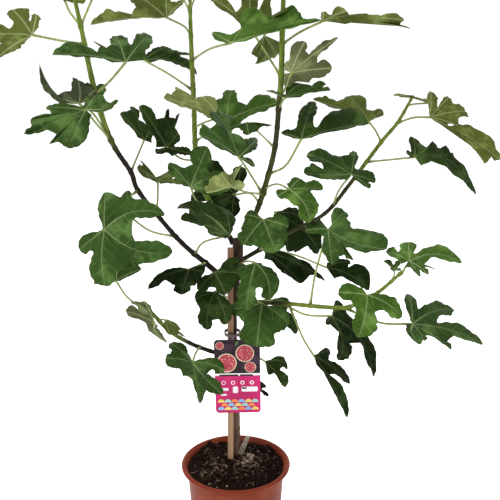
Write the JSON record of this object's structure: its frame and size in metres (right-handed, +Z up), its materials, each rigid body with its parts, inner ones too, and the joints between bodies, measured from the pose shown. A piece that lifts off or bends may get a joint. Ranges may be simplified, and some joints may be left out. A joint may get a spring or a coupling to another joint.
{
  "type": "potted common fig",
  "caption": "Young fig tree in a round nursery pot: a staked, tagged trunk with leafy stems of lobed leaves, standing in potting soil",
  "frame": {"origin": "middle of the pot's flat underside, at the mount base", "axes": "+Z up along the trunk, -Y towards the front that the tag faces, +X to the right"},
  "size_m": [0.8101, 0.3907, 1.0422],
  "materials": {
    "pot": "satin terracotta-coloured plastic",
    "potting_soil": "dark crumbly potting soil",
    "trunk": "grey-brown bark with green leaves",
    "stake": "bare light wood",
    "plant_tag": "printed plastic sheet",
    "stem_left": "living leaf green",
    "stem_centre_left": "living leaf green",
    "stem_centre_right": "living leaf green",
    "stem_right": "living leaf green",
    "stem_low_right": "living leaf green",
    "stem_low_left": "living leaf green"
  },
  "bodies": {
    "root": {"pot": "pot", "potting_soil": "potting_soil", "trunk": "trunk", "stake": "stake", "plant_tag": "plant_tag", "stem_left": "stem_left", "stem_centre_left": "stem_centre_left", "stem_centre_right": "stem_centre_right", "stem_right": "stem_right", "stem_low_right": "stem_low_right", "stem_low_left": "stem_low_left"}
  },
  "joints": []
}
